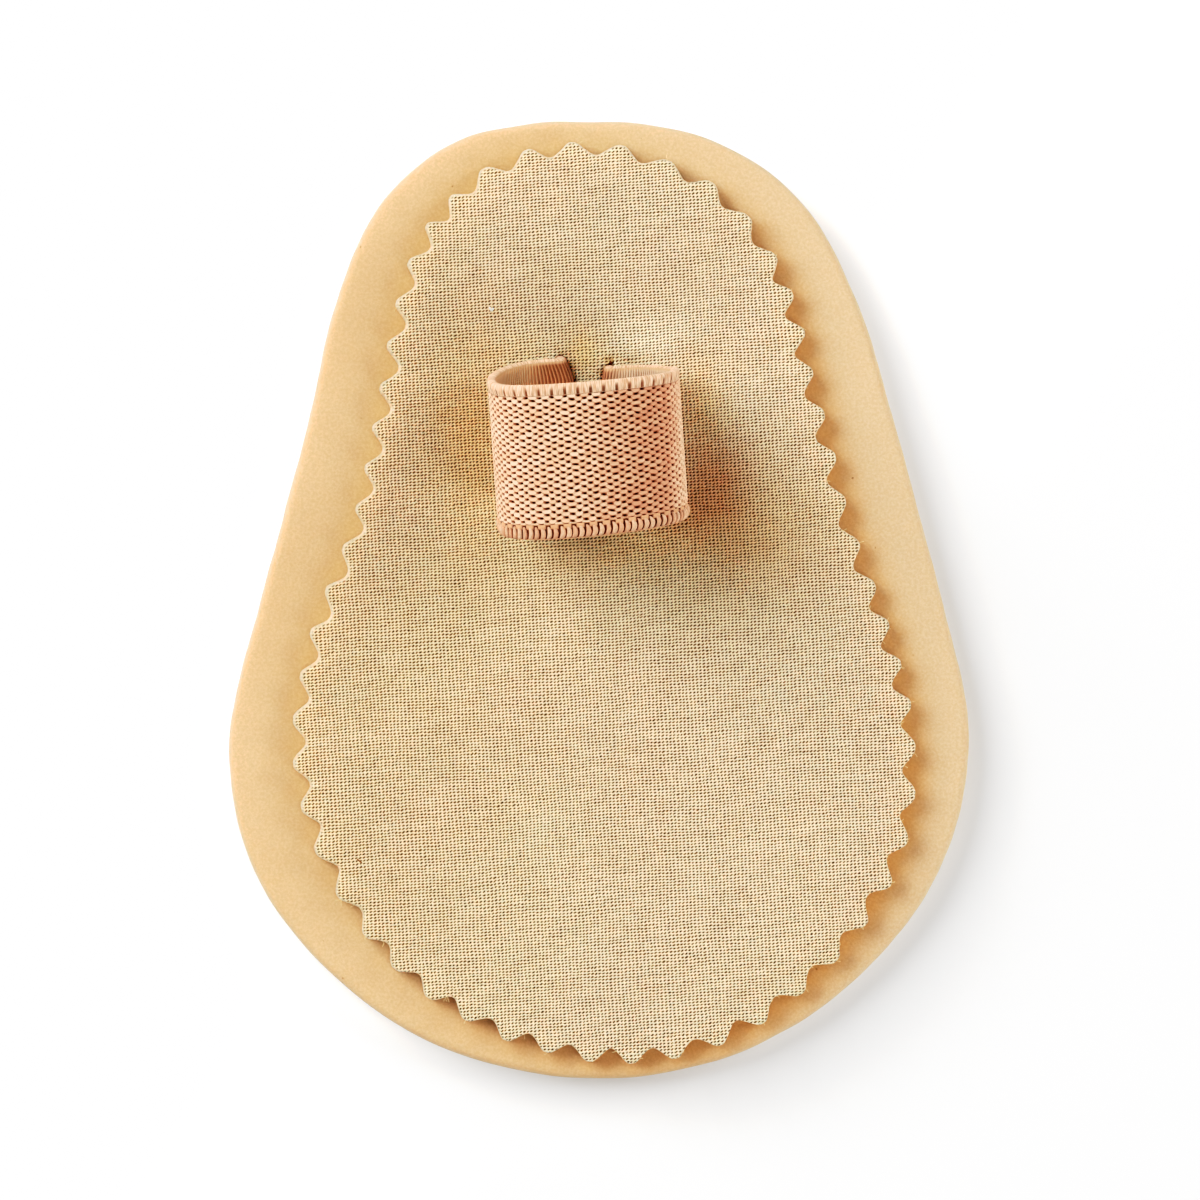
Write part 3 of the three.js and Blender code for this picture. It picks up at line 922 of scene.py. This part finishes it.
# A stitch's rings: how far in from the band's edge, how far proud of the band's middle line and how
# far along it they lie, with their half width and half height
STITCH_RINGS = [
    (1.16, 0.4, 0.02, 0.08, 0.05), (1.02, 0.5, -0.06, 0.15, 0.11), (0.82, 0.55, -0.14, 0.2, 0.14),
    (0.56, 0.56, -0.16, 0.225, 0.15), (0.3, 0.52, -0.1, 0.235, 0.15),
    (0.08, 0.4, 0.02, 0.225, 0.14), (0.0, 0.22, 0.12, 0.21, 0.12), (0.02, 0.02, 0.16, 0.2, 0.1),
    (0.2, -0.1, 0.12, 0.12, 0.05)]
STITCH_SIDES = 10

# Steps of this share of 1 spread the stitches' tones evenly, with no two neighbours alike
TONE_STEP = 0.381966


def bezier(points, steps):
    """Points of a curve with three or four control points."""
    t = np.linspace(0, 1, steps + 1)[:, None]
    points = [np.array(p, dtype=float) for p in points]
    while len(points) > 1:
        points = [a * (1 - t) + b * t for a, b in zip(points, points[1:])]
    return points[0]


def band_line(count):
    """The band's middle line in X and Z, once round from the middle of its hidden stretch."""
    bend = BAND_FACE + BAND_CLEARANCE
    low = COVER_FOOT - BAND_CLEARANCE - BAND_FACE
    lying = COVER_TOP + BAND_CLEARANCE + BAND_FACE
    top = COVER_TOP + LOOP_HEIGHT - BAND_FACE
    side = LOOP_WIDTH / 2 - BAND_FACE
    widest = lying + (top - lying) * 0.42
    into_slit = [(SLIT_MIDDLE - bend, low), (SLIT_MIDDLE, low), (SLIT_MIDDLE, low + bend)]
    out_of_slit = [(SLIT_MIDDLE, lying - bend), (SLIT_MIDDLE, lying), (SLIT_MIDDLE + bend, lying)]
    to_side = [
        (SLIT_MIDDLE + bend + side * 0.1, lying), (side * 0.76, lying),
        (side, lying + (widest - lying) * 0.4), (side, widest)]
    over_top = [(side, widest), (side, widest + (top - widest) * 0.72), (side * 0.6, top), (0, top)]
    right = np.vstack([
        [[0, low]], bezier(into_slit, 12), bezier(out_of_slit, 12), bezier(to_side, 60),
        bezier(over_top, 60)[1:]])
    left = right[-2:0:-1] * [-1, 1]
    return even_steps(np.vstack([right, left]), count)


class Band:
    """The band's middle line and length, and the way from a place on the band to the pad's frame."""

    def __init__(self):
        self.line = band_line(LINE_POINTS)
        steps = np.linalg.norm(np.roll(self.line, -1, axis=0) - self.line, axis=1)
        self.length = steps.sum()
        self.out = -inward(self.line)
        clear = np.nonzero(self.line[:, 1] > COVER_TOP - SEEN_DEPTH)[0][0]
        self.start = clear / len(self.line) * self.length
        self.end = self.length - self.start

    def place(self, reach, across, proud):
        """Points at a reach round the band, across its width, and proud of its middle line."""
        count = len(self.line)
        middle_x, middle_z, out_x, out_z = [
            np.interp(reach / self.length * count, np.arange(count), values, period=count)
            for values in (*self.line.T, *self.out.T)]
        x = middle_x + out_x * proud
        z = middle_z + out_z * proud
        along = across - band_shift(x, z) + band_bow(x, across, z)
        x = x + leg_pull(x, along, z)
        return np.stack([*from_loop(x, along), z], axis=-1)


def band_shift(x, z):
    """How far a point of the band lies to the wide end: its legs a little, its top by the lean."""
    reach = np.clip(x / SLIT_MIDDLE, -1, 1) * LEG_OFFSET
    rise = np.sin(np.clip((z - COVER_TOP) / LOOP_HEIGHT, 0, 1) * math.pi / 2)
    return reach * (1 - rise) + LOOP_LEAN * rise


def band_bow(x, across, z):
    """How far the band's edges bow to the toe side: the right end up, the lower edge sagging."""
    rim = -0.1 + 0.01 * x + 0.0045 * x ** 2
    lower = -0.45 + 0.03 * x + 0.0065 * x ** 2
    share = np.clip(0.5 + across / BAND_WIDTH, 0, 1)
    return (lower + (rim - lower) * share) * np.clip((z - COVER_TOP - 2) / 4, 0, 1)


def leg_line(side, along):
    """How far the inside of a leg lies from the loop's middle where it enters its slit."""
    places, reaches = zip(*LEG_LINES[side])
    return np.interp(along, places, reaches)


def leg_pull(x, along, z):
    """How far the legs are drawn to the side near their slits, where the stitching holds them."""
    inner = SLIT_MIDDLE + BAND_INSIDE
    total = 0.0
    for side in (-1, 1):
        near = np.clip(1 - np.abs(side * x - SLIT_MIDDLE) / LEG_PULL_REACH, 0, 1)
        near *= near * (3 - 2 * near)
        low = 1 - np.clip((z - COVER_TOP - 2) / 3, 0, 1)
        total += side * (leg_line(side, along) - inner) * near * low
    return total


def knit(u, v):
    """Heights of the face yarns, 1 on their crowns, and depth of the holes, 1 at their bottoms."""
    crown = hole = np.zeros_like(u)
    for shift in (0.0, 0.5):
        du, dv = wrapped(u + shift) * YARN_PITCH, wrapped(v + shift + 0.5) * ROW_PAIR
        form = 1 - (du / LUMP_HALVES[0]) ** 2 - (dv / LUMP_HALVES[1]) ** 2
        crown = np.maximum(crown, np.sqrt(np.clip(form, 0, 1)))
        dv = wrapped(v + shift) * ROW_PAIR
        across = np.maximum(du / HOLE_TAIL, -du / HOLE_HEAD)
        hole = np.maximum(hole, np.clip(1.2 - np.hypot(across, dv / HOLE_HALF), 0, 1))
    return crown, hole


def band_columns(band):
    """Reaches of the band's columns: fine where the loop shows, coarse where the cover hides it."""
    yarns = round((band.end - band.start) / YARN_PITCH)
    shown = np.linspace(band.start, band.end, yarns * COLUMNS_PER_YARN + 1)
    hidden = np.linspace(band.end, band.length + band.start, HIDDEN_COLUMNS + 2)[1:-1]
    reach = np.concatenate([shown, hidden])
    return reach % band.length, (reach - band.length / 2) / YARN_PITCH


def stitched_rows(u):
    """Rows of the edge under the stitches, dented between every two of them."""
    for t in np.linspace(-BAND_HALF + STITCHED_ROUND, FACE_START, 13):
        v = (t - FACE_START) / ROW_PAIR
        gap = np.clip((0.24 - np.abs(wrapped(u + 0.5))) / 0.1, 0, 1)
        yield t, BAND_FACE - (0.05 + 0.16 * gap if v > -0.6 else 0.2), u, v, -1.0, 0.0, 0.0


def face_rows(reach, u):
    """Rows of the knitted face, its yarns a little uneven."""
    for t in np.linspace(FACE_START, FACE_END, 161)[1:-1]:
        here = np.full(len(reach), t)
        u_here = u + 0.07 * ripple(reach, here, 1.7, 31)
        v_here = (t - FACE_START) / ROW_PAIR + 0.07 * ripple(reach, here, 1.3, 32)
        crown, hole = knit(u_here, v_here)
        yield t, BAND_FACE - 0.18 * (1 - crown) - 0.2 * hole, u_here, v_here, 0.0, 0.0, 0.0


def toe_edge_rows(u):
    """Rows of the finished edge at the toe side and of the round over it."""
    for t in np.linspace(FACE_END, BAND_HALF - TOE_ROUND, 13):
        share = (t - FACE_END) / TOE_SELVEDGE
        groove = np.exp(-(wrapped(u + 0.5) / 0.1) ** 2) * max(0.0, 1 - (share / 0.66) ** 2)
        swell = 0.09 * math.sin(share * math.pi)
        yield t, BAND_FACE - 0.05 - 0.2 * groove + swell, u, share, 1.0, 0.0, 0.0
    for angle in np.linspace(0, math.pi, 9)[1:-1]:
        t = BAND_HALF - TOE_ROUND + TOE_ROUND * math.sin(angle)
        yield t, BAND_MIDDLE + BAND_BODY / 2 * math.cos(angle), u, 1.0, 1.0, 1.0, 0.0


def inside_rows(u):
    """Rows of the band's inside and of the round back to the stitched edge."""
    for t in np.linspace(BAND_HALF - TOE_ROUND, -BAND_HALF + STITCHED_ROUND, 16):
        rim = np.clip(1 - (BAND_HALF - TOE_ROUND - t) / 0.5, 0, 1)
        yield t, BAND_INSIDE, u, 0.0, 2.0, rim, 1.0
    for angle in np.linspace(0, math.pi, 7)[1:-1]:
        t = -BAND_HALF + STITCHED_ROUND - STITCHED_ROUND * math.sin(angle)
        yield t, BAND_MIDDLE - BAND_BODY / 2 * math.cos(angle), u, 0.0, -1.0, 0.0, 0.0


def toe_band(band):
    """The band as rows of points round it, each row with its values for the material."""
    reach, u = band_columns(band)
    count = len(reach)
    rows = [
        [np.broadcast_to(value, (count,)) for value in row]
        for row in [*stitched_rows(u), *face_rows(reach, u), *toe_edge_rows(u), *inside_rows(u)]]
    points = np.vstack([band.place(reach, t, proud) for t, proud, *_ in rows])
    faces = wall_faces(len(rows), count) + ring_faces((len(rows) - 1) * count, 0, count)
    values = {
        name: np.concatenate([row[index] for row in rows])
        for index, name in enumerate(ROW_VALUES, start=2)}
    new_piece("toe_band", points, faces, elastic_material(), "toe_loop", values)


def edge_stitches(band):
    """The row of overcast stitches on the band's lower edge, each a bowed grain of yarn."""
    points, faces, tones = [], [], []
    shown = band.end - band.start
    total = round(shown / STITCH_PITCH)
    draw = np.random.default_rng(12)
    for number in range(total):
        centre = band.start + (number + 0.5) * shown / total + draw.normal(0, 0.015)
        size = draw.uniform(0.92, 1.06)
        lean = draw.normal(0, 0.02)
        faces += tube_faces(len(STITCH_RINGS), STITCH_SIDES, len(points))
        for from_edge, proud, bow, half_width, half_height in STITCH_RINGS:
            for side in range(STITCH_SIDES):
                angle = 2 * math.pi * side / STITCH_SIDES
                reach = centre + bow + lean * from_edge + half_width * size * math.cos(angle)
                points.append((
                    reach, from_edge - BAND_HALF, proud + half_height * size * math.sin(angle)))
                tones.append(draw.uniform(0.0, 1.0) * 0.2 + (number * TONE_STEP) % 1 * 0.8)
    new_piece(
        "edge_stitches", band.place(*np.array(points).T), faces, stitch_material(),
        values={"tone": tones})


# Loose threads, lint and a speck on the cloth

LINT_PLACE = (-10.1, 27.2)
SPECK_PLACE = (-22.3, -24.7)
FRAY_COUNT = 70
FRAYED_SIDE = np.array([0.7, -0.7])
FIBRE_STEPS = 6
FIBRE_SIDES = 5


def tube(path, radius):
    """Points and faces of a thin closed tube along a path in millimetres."""
    path = np.array(path)
    along = np.gradient(path, axis=0)
    along /= np.linalg.norm(along, axis=1)[:, None]
    level = np.cross(along, [0, 0, 1.0])
    level /= np.maximum(np.linalg.norm(level, axis=1), 1e-6)[:, None]
    upright = np.cross(level, along)
    angles = 2 * math.pi * np.arange(FIBRE_SIDES)[:, None] / FIBRE_SIDES
    round_it = level[:, None] * np.cos(angles) + upright[:, None] * np.sin(angles)
    points = path[:, None] + round_it * radius
    return list(points.reshape(-1, 3)), tube_faces(len(path), FIBRE_SIDES)


def fibres(name, starts, length, radius, colour, seed):
    """Short bent fibres, each from a place and along a bearing, joined as one piece."""
    draw = np.random.default_rng(seed)
    points, faces = [], []
    for x, y, z, bearing in starts:
        turn = bearing + draw.normal(0, 0.35)
        bend = draw.normal(0, 1.1)
        step_length = length * draw.uniform(0.6, 1.4) / FIBRE_STEPS
        path = []
        for step in range(FIBRE_STEPS + 1):
            share = step / FIBRE_STEPS
            heading = turn + bend * share
            path.append((x, y, z + 0.12 * math.sin(share * math.pi) * draw.uniform(0.6, 1.2)))
            x += step_length * math.cos(heading)
            y += step_length * math.sin(heading)
        more, rings = tube(path, radius * draw.uniform(0.8, 1.2))
        faces += [tuple(i + len(points) for i in face) for face in rings]
        points += more
    new_piece(name, points, faces, fibre_material(name, colour))


def frayed_starts():
    """Places and bearings of loose threads on the cut edge, most where it turns from the lamp."""
    edge = flat_outline("cover", COVER_FOOT)
    facing = -inward(edge)
    draw = np.random.default_rng(41)
    starts = []
    while len(starts) < FRAY_COUNT:
        spot = int(draw.integers(len(edge)))
        turned = facing[spot] @ FRAYED_SIDE
        if draw.uniform(-0.6, 1.0) < turned:
            x, y = edge[spot] - facing[spot] * 0.35
            bearing = math.atan2(facing[spot][1], facing[spot][0]) + draw.normal(0, 0.7)
            starts.append((x, y, COVER_TOP - draw.uniform(0.1, 0.5), bearing))
    return starts


def loose_threads():
    lint = [(*LINT_PLACE, COVER_TOP + 0.08, 0.5), (*LINT_PLACE, COVER_TOP + 0.1, 2.4)]
    speck = [(*SPECK_PLACE, COVER_TOP + 0.05, 1.9)]
    fibres("frayed_threads", frayed_starts(), 0.55, 0.035, shade(240, 214, 170), 42)
    fibres("lint", lint, 0.4, 0.09, shade(250, 250, 246), 43)
    fibres("speck", speck, 0.55, 0.06, shade(150, 96, 42), 44)


# Stage, light and camera, in metres

FLOOR_HALF = 3.0
LAMP_DISTANCE = 1.6
ROOM_LIGHT = 0.07
CAMERA_PLACE = (0.0001, 0.0, 0.42)
FRAME_WIDTH = 0.11364
FRAME_PLANE = 0.002
SENSOR = 36.0

# Each lamp's name, bearing and height in degrees, breadth, and the share of light it gives the pad
LAMPS = [
    ("key", 148, 34, 1.3, 0.61),
    ("fill", 22, 25, 0.9, 0.19),
    ("side", -38, 34, 1.0, 0.22),
    ("front", -108, 30, 1.0, 0.08),
]

# How the camera answers to light: steep in the shades, soft in the lights, white before 1
RESPONSE = [
    (0.025, 0.005), (0.054, 0.02), (0.092, 0.05), (0.139, 0.1), (0.214, 0.2), (0.28, 0.3),
    (0.346, 0.4), (0.415, 0.5), (0.491, 0.6), (0.58, 0.7), (0.689, 0.8), (0.79, 0.9), (0.87, 1.0)]


def stage():
    mesh = bpy.data.meshes.new("floor")
    corners = [(x * FLOOR_HALF, y * FLOOR_HALF, 0) for x, y in ((-1, -1), (1, -1), (1, 1), (-1, 1))]
    mesh.from_pydata(corners, [], [(0, 1, 2, 3)])
    mesh.materials.append(floor_material())
    placed("floor", mesh)


def softbox(name, turn, rise, size, share):
    """A round soft lamp that points at the pad."""
    light = bpy.data.lights.new(name, "AREA")
    light.shape = "DISK"
    light.size = size
    slope, level = math.sin(math.radians(rise)), math.cos(math.radians(rise))
    light.energy = share * math.pi ** 2 * LAMP_DISTANCE ** 2 / slope
    lamp = placed(name, light)
    bearing = math.radians(turn)
    lamp.location = (
        LAMP_DISTANCE * level * math.cos(bearing), LAMP_DISTANCE * level * math.sin(bearing),
        LAMP_DISTANCE * slope)
    lamp.rotation_euler = (-lamp.location).to_track_quat("-Z", "Y").to_euler()


def lights():
    for lamp in LAMPS:
        softbox(*lamp)
    world = bpy.data.worlds.new("room")
    world.use_nodes = True
    background = world.node_tree.nodes["Background"]
    background.inputs["Color"].default_value = (1, 1, 1, 1)
    background.inputs["Strength"].default_value = ROOM_LIGHT
    bpy.context.scene.world = world


def camera():
    data = bpy.data.cameras.new("camera")
    data.sensor_width = SENSOR
    data.lens = SENSOR * (CAMERA_PLACE[2] - FRAME_PLANE) / FRAME_WIDTH
    eye = placed("camera", data)
    eye.location = CAMERA_PLACE
    bpy.context.scene.camera = eye


def response():
    view = bpy.context.scene.view_settings
    view.view_transform = "Standard"
    view.use_curve_mapping = True
    view.curve_mapping.extend = "HORIZONTAL"
    curve = view.curve_mapping.curves[3]
    for light, seen in RESPONSE:
        curve.points.new(light, seen)
    view.curve_mapping.update()


foam_pad()
cover_cloth()
loop_band = Band()
toe_band(loop_band)
edge_stitches(loop_band)
loose_threads()
stage()
lights()
camera()
response()
